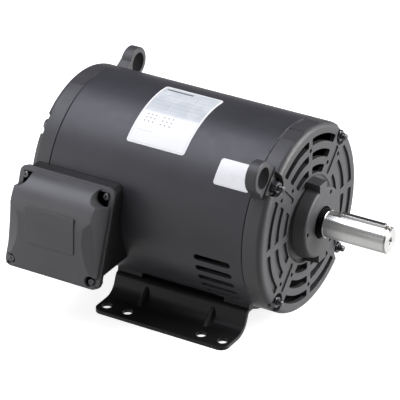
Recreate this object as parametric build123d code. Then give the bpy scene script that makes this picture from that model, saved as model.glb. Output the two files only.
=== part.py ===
from build123d import *
from collections import namedtuple
from math import atan2, cos, degrees, radians, sin, sqrt, tan
import os

# Open drip-proof, foot-mounted induction motor, NEMA 182/184T rolled-steel frame.
# Millimetres. The origin is the centre of the foot-bolt pattern on the base plane,
# +X runs along the shaft to the drive end, +Z is up, and the terminal box is on -Y.
# Round parts are modelled about the X axis and raised to the shaft height at the end.

# ---------------------------------------------------------------- NEMA dimensions
SHAFT_HEIGHT = 114.3            # D: base plane to shaft centre
FOOT_SPAN = 190.5               # 2E: across the foot holes
FOOT_PITCHES = (139.7, 88.9)    # 2F of the 184T, and the inner pair
FOOT_HOLE_RADIUS = 5.56         # 7/16 in hole
SHAFT_RADIUS = 14.2875          # U/2
SHAFT_SHOULDER_X = 139.7        # F + BA
SHAFT_EXTENSION = 69.85         # N-W
KEY_WIDTH = 6.35
KEY_LENGTH = 50.5
KEY_START = 14.3                # from the shoulder
KEY_SEAT_START = 11.0           # the seat runs from here out through the shaft's end
KEY_CHAMFER = 0.5
KEY_SEAT_FLOOR = 10.75          # floor of the key seat above the shaft centre

# ---------------------------------------------------------------- clearances
RUNNING_FIT = 0.04              # balls in their races, radial
FIXED_FIT = 0.05                # spigots, cores and screws in their holes, radial
BODY_GAP = 0.4                  # between pieces that turn and pieces that stand
BOLT_CLEARANCE = 0.4            # through bolt in its hole, radial

# ---------------------------------------------------------------- frame tube
FRAME_RADIUS = 101.7
FRAME_WALL = 4.2
FRAME_FRONT_X = 95.2
FRAME_REAR_X = -137.5
LOUVRE_COUNT = 6
LOUVRE_FIRST_ANGLE = 190.2      # about +X from +Y: the near side, just under the middle
LOUVRE_STEP = 8.2
LOUVRE_LENGTH = 42.5
LOUVRE_WIDTH = 7.4
LOUVRE_X = 59.8                 # middle of the drive-end row

# ---------------------------------------------------------------- end shields
SHIELD_BAND = 21.8              # axial width of the visible rim
SHIELD_EDGE_RADIUS = 6.0
JOINT_CHAMFER = 0.8
SPIGOT_LENGTH = 6.2
SPIGOT_WALL = 3.5
PLATE_THICKNESS = 5.0
BOLT_CIRCLE_RADIUS = FRAME_RADIUS - 8.7
BOLT_ANGLES = (45.0, 135.0, 225.0, 315.0)
BOLT_BOSS_RADIUS = 9.0
POCKET_RADIUS = 9.6             # spanner room round a nut
POCKET_MOUTH = 29.0
FRONT_POCKET_DEPTH = 7.0
REAR_POCKET_DEPTH = 5.0
WINDOW_ROWS = (                 # inner and outer radius of each row of openings
    (FRAME_RADIUS - 52.7, FRAME_RADIUS - 44.3),
    (FRAME_RADIUS - 36.4, FRAME_RADIUS - 28.0),
    (FRAME_RADIUS - 20.0, FRAME_RADIUS - 11.7),
)
WINDOW_CORNER = 2.0
BLIND_DEPTH = 2.4
RIB_WIDTH = 7.0                 # vertical and horizontal ribs
ARM_WIDTH = 26.0                # diagonal arms between the windows
ARM_GROOVE_FROM = FRAME_RADIUS - 51.7
ARM_GROOVE_TO = FRAME_RADIUS - 19.5
ARM_GROOVE_WIDTH = 6.0
ARM_GROOVE_DEPTH = 1.6
FACE_HOLE_RADIUS = 2.3          # tapped holes for a drip cover, right through the face
HUB_HOLE_DEPTH = 4.2
ARM_HOLES = (                   # along an arm, and to one side of its middle
    (FRAME_RADIUS - 25.7, 8.0),
    (FRAME_RADIUS - 41.7, -8.5),
)
RIB_HOLE_RADIUS = FRAME_RADIUS - 24.2
RIB_SIDE_HOLE_RADIUS = FRAME_RADIUS - 57.2
PAD_ANGLES = (99.0, 81.0)       # machined flats on the rim, either side of the top
PAD_WIDTH = 18.5
PAD_DEPTH = 1.1

LUG_CIRCLE_RADIUS = FRAME_RADIUS + 12.8
LUG_OUTER_RADIUS = 17.0
LUG_HOLE_RADIUS = 11.0
LUG_THICKNESS = 12.4
LUG_SETBACK = 9.0               # from the face of the end shield
LUG_CHAMFER = 1.2
LUG_ANGLE = 135.0
LUG_FLARE = 19.5                # half-width where the lug meets the rim

FRONT_HUB_LENGTH = 15.5         # proud of the face
FRONT_HUB_RADIUS = 38.0
HUB_EDGE_RADIUS = 3.0
GUTTER_DEPTH = 1.8              # the hollow round the hub's root
GUTTER_WIDTH = 8.0
FRONT_BORE_RADIUS = 17.2
HUB_WALL = 5.0                  # end wall outside the bearing
HUB_SLEEVE = 6.5                # wall round the bearing
HUB_HOLE_CIRCLE = 32.0
BOSS_WIDTH = 15.0               # bosses at 12 and 6 o'clock
BOSS_REACH = 44.5
BOSS_ROOT = 46.0
REAR_HUB_LENGTH = 12.7
REAR_HUB_RADIUS = 35.0

# ---------------------------------------------------------------- bearings
Bearing = namedtuple("Bearing", "bore outer width ball pitch count")
FRONT_BEARING = Bearing(15.0, 31.0, 16.0, 4.7625, 23.0, 9)      # 6206
REAR_BEARING = Bearing(12.5, 26.0, 15.0, 3.969, 19.25, 9)       # 6205
RACE_DEPTH = 0.15               # share of the ball radius left above each groove's edge
CAGE_SHARE = 0.42               # half the cage's thickness in ball radii
CAGE_RIM = 1.4
CAGE_GAP = 0.3
SHIELD_SHEET = 0.6
SPRING_HEIGHT = 2.0
SNAP_RING = 1.5

# ---------------------------------------------------------------- stator and rotor
CORE_FRONT_X = 33.0
CORE_REAR_X = -75.0
STATOR_BORE_RADIUS = FRAME_RADIUS * 0.6
STATOR_SLOTS = 36
SLOT_BOTTOM_RADIUS = FRAME_RADIUS - 21.7
SLOT_TOP_RADIUS = STATOR_BORE_RADIUS + 3.0
SLOT_WIDTH = 6.4
SLOT_MOUTH = 2.6
SLOT_LINER = 0.4
COIL_OVERHANG = 8.0             # straight coil beyond the core before the end turn
END_TURN_LENGTH = 28.0
END_TURN_INNER = STATOR_BORE_RADIUS + 3.8
END_TURN_OUTER = FRAME_RADIUS - 15.7
AIR_GAP = 0.5
ROTOR_SLOTS = 28
BAR_TOP_RADIUS = STATOR_BORE_RADIUS - 2.0
BAR_BOTTOM_RADIUS = BAR_TOP_RADIUS - 15.0
BAR_WIDTH = 5.0
END_RING_LENGTH = 12.0
END_RING_BORE = BAR_BOTTOM_RADIUS - 4.0
FAN_BLADES = 9
FAN_BLADE_LENGTH = 20.0
FAN_BLADE_THICKNESS = 3.0
CORE_SEAT_RADIUS = 22.0
SHAFT_BODY_RADIUS = 18.5
SHAFT_END_CHAMFER = 1.5
CENTRE_DRILL_RADIUS = 4.0
CENTRE_DRILL_DEPTH = 9.0

# ---------------------------------------------------------------- air baffles
BAFFLE_SHEET = 1.0
BAFFLE_RIM_RADIUS = FRAME_RADIUS - 5.2
BAFFLE_SHOULDER_RADIUS = FRAME_RADIUS - 15.7
BAFFLE_MOUTH_RADIUS = FRAME_RADIUS - 35.7
BAFFLE_DEPTH = 13.0

# ---------------------------------------------------------------- through bolts
BOLT_RADIUS = 3.175
HEX_FLATS = 11.11
HEX_EDGE = 1.0                  # chamfer on a hexagon's corners
NUT_HEIGHT = 5.6
HEAD_HEIGHT = 5.0
LOCK_WASHER = 1.8
LOCK_WASHER_RADIUS = 6.0
LOCK_WASHER_SPLIT = 0.8
STUD_END = 6.0                  # thread standing past the nut

# ---------------------------------------------------------------- base
BASE_LENGTH = 159.0
BASE_WIDTH = FOOT_SPAN + 26.5
BASE_THICKNESS = 4.0
BASE_CORNER = 9.0
RISER_Y = 69.8                  # where the riser's line meets the flange's top
RISER_LEAN = 22.8               # degrees from upright
RISER_BEND = 17.0
SADDLE_HALF_WIDTH = FRAME_RADIUS * 0.4936   # the saddle touches the frame this far each side
SHOULDER_Z = SHAFT_HEIGHT - sqrt(FRAME_RADIUS ** 2 - SADDLE_HALF_WIDTH ** 2) - 0.55
SHOULDER_BEND = 6.0
GUSSET_X = 40.0
GUSSET_WIDTH = 9.0
GUSSET_CREST = 3.6              # width of the flat along a gusset's top
GUSSET_Y = RISER_Y + 10.2
WELD_LENGTH = 30.0

# ---------------------------------------------------------------- terminal box
BOX_X = -101.0
BOX_HALF_WIDTH = 54.2
BOX_TOP_Z = SHAFT_HEIGHT + 38.2
BOX_BOTTOM_Z = SHAFT_HEIGHT - 52.0
BOX_SKIRT_Z = SHAFT_HEIGHT - 58.0
BOX_SKIRT_LENGTH = 15.0
BOX_TILT = 20.3                 # lean of the parting plane, from upright
PARTING_Y = -FRAME_RADIUS - 29.3            # middle of the parting plane
PARTING_Z = SHAFT_HEIGHT - 8.2
FLANGE_HALF_WIDTH = 57.0
FLANGE_HALF_HEIGHT = 53.6
FLANGE_THICKNESS = 3.0
FLANGE_CORNER = 8.0
BOX_WALL = 3.0
BOX_CORNER = 7.0
BOX_GASKET = 1.0
COVER_GASKET = 1.2
GASKET_BAND = 5.0
GASKET_INSET = 1.4              # the cover gasket's edge lies this far inside the flange
LEAD_HOLE_RADIUS = 15.0
CONDUIT_RADIUS = 13.6
CONDUIT_Y = -FRAME_RADIUS - 14.3
BOX_SCREW_RADIUS = 2.4
BOX_SCREW_FLATS = 8.0
BOX_SCREW_HEAD = 3.2
MOUNT_SCREW_X = 30.0            # from the middle of the box
GROUND_SCREW_X = 44.0
COVER_SLAB = 2.8
COVER_WALL = 2.4
COVER_INSET = 2.4               # from the flange's edge to the raised part
COVER_FRONT_Y = PARTING_Y - 21.5            # the front face at the height of the parting centre
COVER_FRONT_LEAN = 2.5
COVER_CROWN_RADIUS = 34.0
COVER_DRAFT = 13.0              # the sides lean in from the parting plane's normal
FACET_INSET = 16.0              # the hollowed facet on each side at its widest
FACET_DROP = 4.2                # below the front face at the side's edge
FACET_HALF_LENGTH = 46.0
FACET_MIDDLE = 2.0              # above the middle of the front
COVER_SCREWS = ((48.6, 43.8), (-48.6, 43.8), (48.6, -45.4), (-48.6, -45.4))
SCOOP_RADIUS = 10.2             # upper two
WELL_RADIUS = 6.2               # lower two
COVER_SCREW_RADIUS = 2.0
COVER_HEAD_RADIUS = 3.5
COVER_HEAD_HEIGHT = 2.2
CROSS_WIDTH = 1.0               # the cross recess in a screw's head
CROSS_LENGTH = 4.4
CROSS_DEPTH = 1.2
COVER_BOSS_RADIUS = 5.4
COVER_BOSS_LENGTH = 9.0
BADGE_WIDTH = 59.0
BADGE_HEIGHT = 40.5
BADGE_Z = SHAFT_HEIGHT - 2.7
BADGE_RELIEF = 0.8

# ---------------------------------------------------------------- plates on the frame
PLATE_SHEET = 0.5
PLATE_GLUE = 0.05
NAMEPLATE = (-59.4, 9.0, 83.2, 133.0)      # x from, x to, angle from, angle to
INFO_LABEL = (50.5, 91.5, 127.8, 143.8)
PLATE_CORNER = 3.0

# ---------------------------------------------------------------- derived stations
BORE_RADIUS = FRAME_RADIUS - FRAME_WALL
SPIGOT_RADIUS = BORE_RADIUS - FIXED_FIT
FRONT_FACE_X = FRAME_FRONT_X + SHIELD_BAND
REAR_FACE_X = FRAME_REAR_X - SHIELD_BAND
FRONT_BEARING_X = FRONT_FACE_X + FRONT_HUB_LENGTH - HUB_WALL - FRONT_BEARING.width / 2
REAR_BEARING_X = REAR_FACE_X - REAR_HUB_LENGTH + HUB_WALL + SPRING_HEIGHT + REAR_BEARING.width / 2
FRONT_SEAT_X = FRONT_FACE_X - FRONT_POCKET_DEPTH
REAR_SEAT_X = REAR_FACE_X + REAR_POCKET_DEPTH
SHAFT_END_X = SHAFT_SHOULDER_X + SHAFT_EXTENSION
SHAFT_REAR_X = REAR_BEARING_X - REAR_BEARING.width / 2 - 1.0
FAR = 2 * FRAME_RADIUS

AXIS = Pos(0, 0, SHAFT_HEIGHT)
PARTING = Plane(
    origin=(BOX_X, PARTING_Y, PARTING_Z),
    x_dir=(1, 0, 0),
    z_dir=(0, -cos(radians(BOX_TILT)), sin(radians(BOX_TILT))),
)


# ================================================================ helpers
def outline(*corners):
    """A flat face in the XY plane; a corner given as (x, y, r) is rounded to radius r."""
    face = make_face(Polyline([(c[0], c[1]) for c in corners], close=True))
    for corner in corners:
        if len(corner) == 3:
            vertex = face.vertices().sort_by_distance((corner[0], corner[1], 0))[0]
            face = fillet(vertex, corner[2])
    return face


def turned(*corners):
    """A body of revolution about X, from (x, radius) corners."""
    return revolve(outline(*corners), Axis.X)


def across(sketch, x0, x1):
    """A sketch in (y, z) pushed from x0 to x1."""
    return extrude(Plane.YZ.offset(x0) * sketch, x1 - x0)


def tube(x0, x1, outer, inner=0.0):
    """A round bar or tube along X."""
    section = Circle(outer)
    if inner:
        section -= Circle(inner)
    return across(section, x0, x1)


def around(shape, angles):
    """Copies of a shape turned about the X axis."""
    return [Rot(angle, 0, 0) * shape for angle in angles]


def even(count, start=0.0):
    return [start + 360.0 * i / count for i in range(count)]


def toward_box(sketch, y0, y1):
    """A sketch in (x, z) pushed along -Y from y0 to y1, both negative."""
    return extrude(Plane.XZ.offset(-y0) * sketch, y0 - y1)


def hexagon(x0, x1):
    """A hexagon along X with its outer corners taken off."""
    blank = across(RegularPolygon(HEX_FLATS / 2, 6, major_radius=False), x0, x1)
    corner = HEX_FLATS / 2 / cos(radians(30))
    top = x1 - HEX_EDGE
    return blank & turned((x0, 0), (x0, corner), (top, corner), (x1, corner - HEX_EDGE), (x1, 0))


def joined(shapes):
    """Separate pieces of one node."""
    return Compound([solid for shape in shapes for solid in shape.solids()])


def save(shape, name):
    export_step(shape, f"parts/{name}.step")


# ================================================================ frame and base
def louvre(x):
    slot = Plane(origin=(x, BORE_RADIUS - 5, 0), x_dir=(1, 0, 0), z_dir=(0, 1, 0))
    return extrude(slot * SlotOverall(LOUVRE_LENGTH, LOUVRE_WIDTH), FRAME_WALL + 10)


def louvre_angles():
    near = [LOUVRE_FIRST_ANGLE + i * LOUVRE_STEP for i in range(LOUVRE_COUNT)]
    return near + [180.0 - angle for angle in near]


def box_screw_holes(radius):
    """Bores along Y for the box's two mounting screws and its ground screw."""
    sketch = Sketch()
    for x in (-MOUNT_SCREW_X, MOUNT_SCREW_X, GROUND_SCREW_X):
        sketch += Pos(BOX_X + x, SHAFT_HEIGHT) * Circle(radius)
    return toward_box(sketch, -BORE_RADIUS + 8, -FRAME_RADIUS - 20)


def lead_hole(radius):
    return toward_box(Pos(BOX_X, SHAFT_HEIGHT) * Circle(radius), -BORE_RADIUS + 20, -FRAME_RADIUS - 20)


def frame_shell():
    shell = tube(FRAME_REAR_X, FRAME_FRONT_X, FRAME_RADIUS, BORE_RADIUS)
    rims = shell.edges().filter_by(GeomType.CIRCLE).group_by(SortBy.RADIUS)[-1]
    shell = chamfer(rims, JOINT_CHAMFER)
    shell -= around(louvre(LOUVRE_X), louvre_angles())
    shell = AXIS * shell
    return shell - lead_hole(LEAD_HOLE_RADIUS) - box_screw_holes(BOX_SCREW_RADIUS + FIXED_FIT)


def base_section():
    """Half of the pressed base's section, in (y, z): foot, riser, shoulder and saddle."""
    lean = tan(radians(RISER_LEAN))
    skin = BASE_THICKNESS / cos(radians(RISER_LEAN))
    shoulder_y = RISER_Y - (SHOULDER_Z - BASE_THICKNESS) * lean
    inner_foot_y = RISER_Y + BASE_THICKNESS * lean - skin
    inner_top_z = SHOULDER_Z - BASE_THICKNESS
    inner_top_y = inner_foot_y - inner_top_z * lean
    sheet = outline(
        (0, SHOULDER_Z),
        (shoulder_y, SHOULDER_Z, SHOULDER_BEND),
        (RISER_Y, BASE_THICKNESS, RISER_BEND),
        (BASE_WIDTH / 2, BASE_THICKNESS),
        (BASE_WIDTH / 2, 0),
        (inner_foot_y, 0, RISER_BEND + BASE_THICKNESS),
        (inner_top_y, inner_top_z, SHOULDER_BEND - BASE_THICKNESS),
        (0, inner_top_z),
    )
    saddle = Circle(FRAME_RADIUS + BASE_THICKNESS) - Circle(FRAME_RADIUS)
    under = outline((0, 0), (shoulder_y, 0), (shoulder_y, SHOULDER_Z), (0, SHOULDER_Z))
    saddle = Pos(0, SHAFT_HEIGHT) * saddle & under
    saddle -= Pos(inner_top_y, 0) * Rectangle(2 * (inner_top_y - SADDLE_HALF_WIDTH), 2 * SHOULDER_Z)
    return sheet + saddle - Pos(0, SHAFT_HEIGHT) * Circle(FRAME_RADIUS)


def gusset(x):
    """A stiffening web pressed into the bend between foot and riser, its crest narrower."""
    lean = tan(radians(RISER_LEAN))
    top_z = SHOULDER_Z - 3.0
    top_y = RISER_Y - (top_z - BASE_THICKNESS) * lean - 2
    root_z = BASE_THICKNESS * 0.7
    web = outline((top_y, top_z), (GUSSET_Y, BASE_THICKNESS), (GUSSET_Y, root_z), (top_y, root_z))
    half = GUSSET_WIDTH / 2
    crest = GUSSET_CREST / 2
    slope = Plane(
        origin=(x, top_y, top_z), x_dir=(1, 0, 0), z_dir=(0, GUSSET_Y - top_y, BASE_THICKNESS - top_z)
    )
    roof = Polygon(
        (-crest, 0), (crest, 0), (half, crest - half), (half, -top_z), (-half, -top_z), (-half, crest - half), align=None
    )
    if slope.y_dir.Z < 0:
        roof = mirror(roof, Plane.XZ)
    return across(web, x - half, x + half) & extrude(slope * roof, 4 * top_z, both=True)


def foot_base():
    half = across(base_section(), -BASE_LENGTH / 2, BASE_LENGTH / 2)
    for x in (-GUSSET_X, GUSSET_X):
        half += gusset(x)
    corners = half.edges().filter_by(Axis.Z).group_by(Axis.Y)[-1]
    half = fillet(corners, BASE_CORNER)
    holes = Sketch()
    for pitch in FOOT_PITCHES:
        for x in (-pitch / 2, pitch / 2):
            holes += Pos(x, FOOT_SPAN / 2) * Circle(FOOT_HOLE_RADIUS)
    half -= extrude(Pos(0, 0, -1) * holes, BASE_THICKNESS + 2)
    return half + mirror(half, Plane.XZ)


def base_welds():
    """Fillet welds that fill the wedge between the shoulder and the frame at each end."""
    lean = tan(radians(RISER_LEAN))
    edge_y = RISER_Y - (SHOULDER_Z - BASE_THICKNESS) * lean - SHOULDER_BEND / 2
    root_y = sqrt(FRAME_RADIUS ** 2 - (SHAFT_HEIGHT - SHOULDER_Z) ** 2)
    frame_z = SHAFT_HEIGHT - sqrt(FRAME_RADIUS ** 2 - edge_y ** 2)
    wedge = outline(
        (root_y - 1, SHOULDER_Z), (edge_y, SHOULDER_Z), (edge_y - 1, frame_z + 2), (root_y - 1, frame_z)
    )
    wedge -= Pos(0, SHAFT_HEIGHT) * Circle(FRAME_RADIUS)
    end = BASE_LENGTH / 2
    welds = []
    for x0 in (-end, end - WELD_LENGTH):
        bead = across(wedge, x0, x0 + WELD_LENGTH)
        welds += [bead, mirror(bead, Plane.XZ)]
    return joined(welds)


# ================================================================ end shields
def quarter_windows(quarter):
    """The three rows of openings in one quarter of the face, in two halves beside a rib."""
    start = ARM_WIDTH / 2 * sqrt(2)
    rib = RIB_WIDTH / 2
    wedge = Polygon((rib, start + rib), (FAR, start + FAR), (rib, start + FAR), align=None)
    openings = []
    for inner, outer in WINDOW_ROWS:
        window = (Circle(outer) - Circle(inner)) & wedge
        window = fillet(window.vertices(), WINDOW_CORNER)
        openings += [window, mirror(window, Plane.YZ)]
    return Rot(0, 0, 90 * quarter) * Sketch(children=openings)


def bolt_pocket(depth):
    """Spanner room round a through bolt, open to the rim and to the face."""
    reach = LUG_CIRCLE_RADIUS
    mouth = POCKET_MOUTH / 2
    flare = Polygon(
        (BOLT_CIRCLE_RADIUS - 2, -POCKET_RADIUS),
        (reach, -mouth * 1.2),
        (reach, mouth * 1.2),
        (BOLT_CIRCLE_RADIUS - 2, POCKET_RADIUS),
        align=None,
    )
    pocket = Pos(BOLT_CIRCLE_RADIUS, 0) * Circle(POCKET_RADIUS) + flare
    return across(pocket, SHIELD_BAND - depth, SHIELD_BAND + 10)


def lifting_lug():
    """An eye cast on the rim, flaring into it, its hole along the shaft."""
    front = SHIELD_BAND - LUG_SETBACK
    back = front - LUG_THICKNESS
    eye = tube(back, front, LUG_OUTER_RADIUS)
    eye = Pos(0, LUG_CIRCLE_RADIUS, 0) * chamfer(eye.edges().filter_by(GeomType.CIRCLE), LUG_CHAMFER)
    root = BORE_RADIUS - 1
    neck = LUG_OUTER_RADIUS - LUG_CHAMFER
    flare = Polygon(
        (root, -LUG_FLARE), (LUG_CIRCLE_RADIUS - 5, -neck), (LUG_CIRCLE_RADIUS - 5, neck), (root, LUG_FLARE), align=None
    )
    lug = eye + across(flare, back, front) - tube(back - 1, front + 1, root)
    return lug - across(Pos(LUG_CIRCLE_RADIUS, 0) * Circle(LUG_HOLE_RADIUS), back - 1, front + 1)


def arm_groove():
    """The shallow channel along a diagonal arm."""
    length = ARM_GROOVE_TO - ARM_GROOVE_FROM
    slot = Pos((ARM_GROOVE_FROM + ARM_GROOVE_TO) / 2, 0) * SlotOverall(length, ARM_GROOVE_WIDTH)
    return across(slot, SHIELD_BAND - ARM_GROOVE_DEPTH, SHIELD_BAND + 5)


def face_holes():
    """Small holes in the arms and ribs."""
    places = []
    for angle in BOLT_ANGLES:
        side = -1 if angle % 180 < 90 else 1
        places += [Rot(0, 0, angle) * Pos(reach, offset * side) for reach, offset in ARM_HOLES]
    places += [Pos(0, RIB_HOLE_RADIUS), Pos(0, -RIB_HOLE_RADIUS)]
    places += [Pos(RIB_SIDE_HOLE_RADIUS, 0), Pos(-RIB_SIDE_HOLE_RADIUS, 0)]
    holes = Sketch(children=[place * Circle(FACE_HOLE_RADIUS) for place in places])
    return across(holes, SHIELD_BAND - PLATE_THICKNESS - 1, SHIELD_BAND + 5)


def rim_flat(angle):
    """The cut that leaves one narrow machined flat along the rim."""
    cut = Pos(FRAME_RADIUS + 10 - PAD_DEPTH, 0) * Rectangle(20, PAD_WIDTH)
    return Rot(angle, 0, 0) * across(cut, JOINT_CHAMFER, SHIELD_BAND + 1)


def hub_gutter(hub_radius):
    """The shallow hollow round the hub's root."""
    arc = (GUTTER_WIDTH ** 2 / 4 + GUTTER_DEPTH ** 2) / (2 * GUTTER_DEPTH)
    middle = hub_radius + 1 + GUTTER_WIDTH / 2
    ring = Pos(SHIELD_BAND - GUTTER_DEPTH + arc, middle) * Circle(arc)
    return revolve(ring, Axis.X) & tube(SHIELD_BAND - arc, SHIELD_BAND + 2, middle + GUTTER_WIDTH, hub_radius + 1)


def shield_casting(bearing, hub_length, hub_radius, bore, pocket_depth, recess):
    """One end shield about X, its joint face at x = 0 and its outside towards +X."""
    face = SHIELD_BAND
    plate = face - PLATE_THICKNESS
    hub = face + hub_length
    seat = hub - HUB_WALL
    seat_end = seat - recess - bearing.width - 1.0
    sleeve = bearing.outer + HUB_SLEEVE
    cavity = SPIGOT_RADIUS - SPIGOT_WALL
    body = turned(
        (-SPIGOT_LENGTH, cavity),
        (-SPIGOT_LENGTH, SPIGOT_RADIUS),
        (0, SPIGOT_RADIUS),
        (0, FRAME_RADIUS - JOINT_CHAMFER),
        (JOINT_CHAMFER, FRAME_RADIUS),
        (face, FRAME_RADIUS, SHIELD_EDGE_RADIUS),
        (face, hub_radius + 3, 3),
        (hub, hub_radius - 0.5, HUB_EDGE_RADIUS),
        (hub, bore),
        (seat, bore),
        (seat, bearing.outer),
        (seat_end, bearing.outer),
        (seat_end, sleeve),
        (plate, sleeve),
        (plate, cavity, 4),
    )
    boss = across(Pos(BOLT_CIRCLE_RADIUS, 0) * Circle(BOLT_BOSS_RADIUS), -SPIGOT_LENGTH, plate + 1)
    boss &= tube(-SPIGOT_LENGTH, plate + 1, SPIGOT_RADIUS)
    body += around(boss, BOLT_ANGLES)
    body += Rot(LUG_ANGLE, 0, 0) * lifting_lug()
    body -= around(bolt_pocket(pocket_depth), BOLT_ANGLES)
    hole = across(Pos(BOLT_CIRCLE_RADIUS, 0) * Circle(BOLT_RADIUS + BOLT_CLEARANCE), -SPIGOT_LENGTH - 1, face)
    body -= around(hole, BOLT_ANGLES)
    for quarter in (0, 2):
        body -= across(quarter_windows(quarter), plate - 2, face + 1)
        body -= across(quarter_windows(quarter + 1), face - BLIND_DEPTH, face + 1)
    body -= around(arm_groove(), BOLT_ANGLES)
    body -= face_holes()
    body -= [rim_flat(angle) for angle in PAD_ANGLES]
    return body - hub_gutter(hub_radius)


def hub_boss():
    """The block above and below the drive-end hub."""
    length = FRONT_HUB_LENGTH + 3
    side = outline((0, 0), (BOSS_ROOT, 0), (BOSS_REACH, length, 1.2), (0, length))
    block = extrude(side, BOSS_WIDTH / 2, both=True)
    upright = Plane(origin=(SHIELD_BAND - 3, 0, 0), x_dir=(0, 0, 1), z_dir=(0, 1, 0))
    return upright.location * block


def drive_endshield():
    body = shield_casting(
        FRONT_BEARING, FRONT_HUB_LENGTH, FRONT_HUB_RADIUS, FRONT_BORE_RADIUS, FRONT_POCKET_DEPTH, 0.0
    )
    hub = SHIELD_BAND + FRONT_HUB_LENGTH
    keep_clear = tube(0, hub + 1, FRONT_BEARING.outer + 2)
    block = hub_boss() - keep_clear
    body += [block, Rot(180, 0, 0) * block]
    hole = across(Pos(HUB_HOLE_CIRCLE, 0) * Circle(FACE_HOLE_RADIUS), hub - HUB_HOLE_DEPTH, hub + 1)
    body -= around(hole, (60, 180, 300))
    return AXIS * Pos(FRAME_FRONT_X, 0, 0) * body


def rear_endshield():
    body = shield_casting(
        REAR_BEARING, REAR_HUB_LENGTH, REAR_HUB_RADIUS, 0.0, REAR_POCKET_DEPTH, SPRING_HEIGHT
    )
    return AXIS * Pos(FRAME_REAR_X, 0, 0) * Rot(0, 0, 180) * body


def through_bolts():
    shank = tube(REAR_SEAT_X, FRONT_SEAT_X + LOCK_WASHER + NUT_HEIGHT + STUD_END, BOLT_RADIUS)
    shank = chamfer(shank.edges().sort_by(Axis.X)[-1], 0.8)
    head = Rot(0, 0, 180) * hexagon(-REAR_SEAT_X, -REAR_SEAT_X + HEAD_HEIGHT)
    bolt = Pos(0, BOLT_CIRCLE_RADIUS, 0) * (shank + head)
    return AXIS * joined(around(bolt, BOLT_ANGLES))


def bolt_nuts():
    start = FRONT_SEAT_X + LOCK_WASHER
    thread = tube(start, start + NUT_HEIGHT, BOLT_RADIUS + FIXED_FIT)
    nut = Pos(0, BOLT_CIRCLE_RADIUS, 0) * (hexagon(start, start + NUT_HEIGHT) - thread)
    return AXIS * joined(around(nut, BOLT_ANGLES))


def lock_washers():
    """Split spring washers under the nuts."""
    ring = tube(FRONT_SEAT_X, FRONT_SEAT_X + LOCK_WASHER, LOCK_WASHER_RADIUS, BOLT_RADIUS + FIXED_FIT)
    split = Rot(0, 30, 0) * Box(6 * LOCK_WASHER, LOCK_WASHER_RADIUS * 1.1, LOCK_WASHER_SPLIT)
    split = Pos(FRONT_SEAT_X + LOCK_WASHER / 2, LOCK_WASHER_RADIUS / 2, 0) * split
    washer = Pos(0, BOLT_CIRCLE_RADIUS, 0) * (ring - split)
    return AXIS * joined(around(washer, BOLT_ANGLES))


def air_baffle(towards_drive):
    """A sheet funnel between the end shield's bosses and the fan blades."""
    depth = BAFFLE_DEPTH
    sheet = BAFFLE_SHEET
    body = turned(
        (0, BAFFLE_RIM_RADIUS),
        (0, BAFFLE_SHOULDER_RADIUS),
        (-depth, BAFFLE_MOUTH_RADIUS),
        (-depth - sheet, BAFFLE_MOUTH_RADIUS),
        (-sheet, BAFFLE_SHOULDER_RADIUS + sheet),
        (-sheet, BAFFLE_RIM_RADIUS),
    )
    hole = across(Pos(BOLT_CIRCLE_RADIUS, 0) * Circle(BOLT_RADIUS + BOLT_CLEARANCE), -depth, 1)
    body -= around(hole, BOLT_ANGLES)
    if towards_drive:
        return AXIS * Pos(FRAME_FRONT_X - SPIGOT_LENGTH, 0, 0) * body
    return AXIS * Pos(FRAME_REAR_X + SPIGOT_LENGTH, 0, 0) * Rot(0, 0, 180) * body


# ================================================================ bearings
def race_groove(bearing):
    return Rot(0, 90, 0) * Torus(bearing.pitch, bearing.ball + RUNNING_FIT)


def land_offset(bearing):
    return bearing.ball * (1 - RACE_DEPTH)


def outer_ring(bearing):
    ring = tube(-bearing.width / 2, bearing.width / 2, bearing.outer, bearing.pitch + land_offset(bearing))
    return ring - race_groove(bearing)


def inner_ring(bearing):
    ring = tube(-bearing.width / 2, bearing.width / 2, bearing.pitch - land_offset(bearing), bearing.bore)
    return ring - race_groove(bearing)


def bearing_balls(bearing):
    ball = Pos(0, bearing.pitch, 0) * Sphere(bearing.ball)
    return joined(around(ball, even(bearing.count)))


def bearing_cage(bearing):
    half = bearing.ball + CAGE_RIM
    thick = bearing.ball * CAGE_SHARE
    ring = tube(-half, half, bearing.pitch + thick, bearing.pitch - thick)
    pocket = Pos(0, bearing.pitch, 0) * Rot(-90, 0, 0) * Cylinder(bearing.ball + CAGE_GAP, 4 * thick)
    return ring - around(pocket, even(bearing.count))


def bearing_shields(bearing):
    """The two sheet rings pressed into the outer ring."""
    outer = bearing.pitch + land_offset(bearing) - FIXED_FIT
    inner = bearing.pitch - land_offset(bearing) + BODY_GAP
    edge = bearing.width / 2 - 0.2
    sheet = tube(edge - SHIELD_SHEET, edge, outer, inner)
    return joined([sheet, Rot(0, 180, 0) * sheet])


def save_bearing(bearing, x, end):
    place = AXIS * Pos(x, 0, 0)
    save(place * outer_ring(bearing), f"{end}_bearing_outer_ring")
    save(place * inner_ring(bearing), f"{end}_bearing_inner_ring")
    save(place * bearing_balls(bearing), f"{end}_bearing_balls")
    save(place * bearing_cage(bearing), f"{end}_bearing_cage")
    save(place * bearing_shields(bearing), f"{end}_bearing_shields")


def preload_spring():
    """The wave washer behind the rear bearing, pressed nearly flat."""
    start = REAR_BEARING_X - REAR_BEARING.width / 2 - SPRING_HEIGHT
    return AXIS * tube(start, start + SPRING_HEIGHT, REAR_BEARING.outer - 0.4, REAR_BEARING.pitch + 2.5)


def snap_ring_x():
    return FRONT_BEARING_X + FRONT_BEARING.width / 2


def bearing_snap_ring():
    """The open ring in the shaft's groove that holds the drive bearing."""
    start = snap_ring_x()
    ring = tube(start, start + SNAP_RING, FRONT_BORE_RADIUS - BODY_GAP, FRONT_BEARING.bore - 0.8)
    gap = Pos(start, 0, -FRONT_BEARING.bore) * Box(8, 7, 8)
    return AXIS * (ring - gap)


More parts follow.
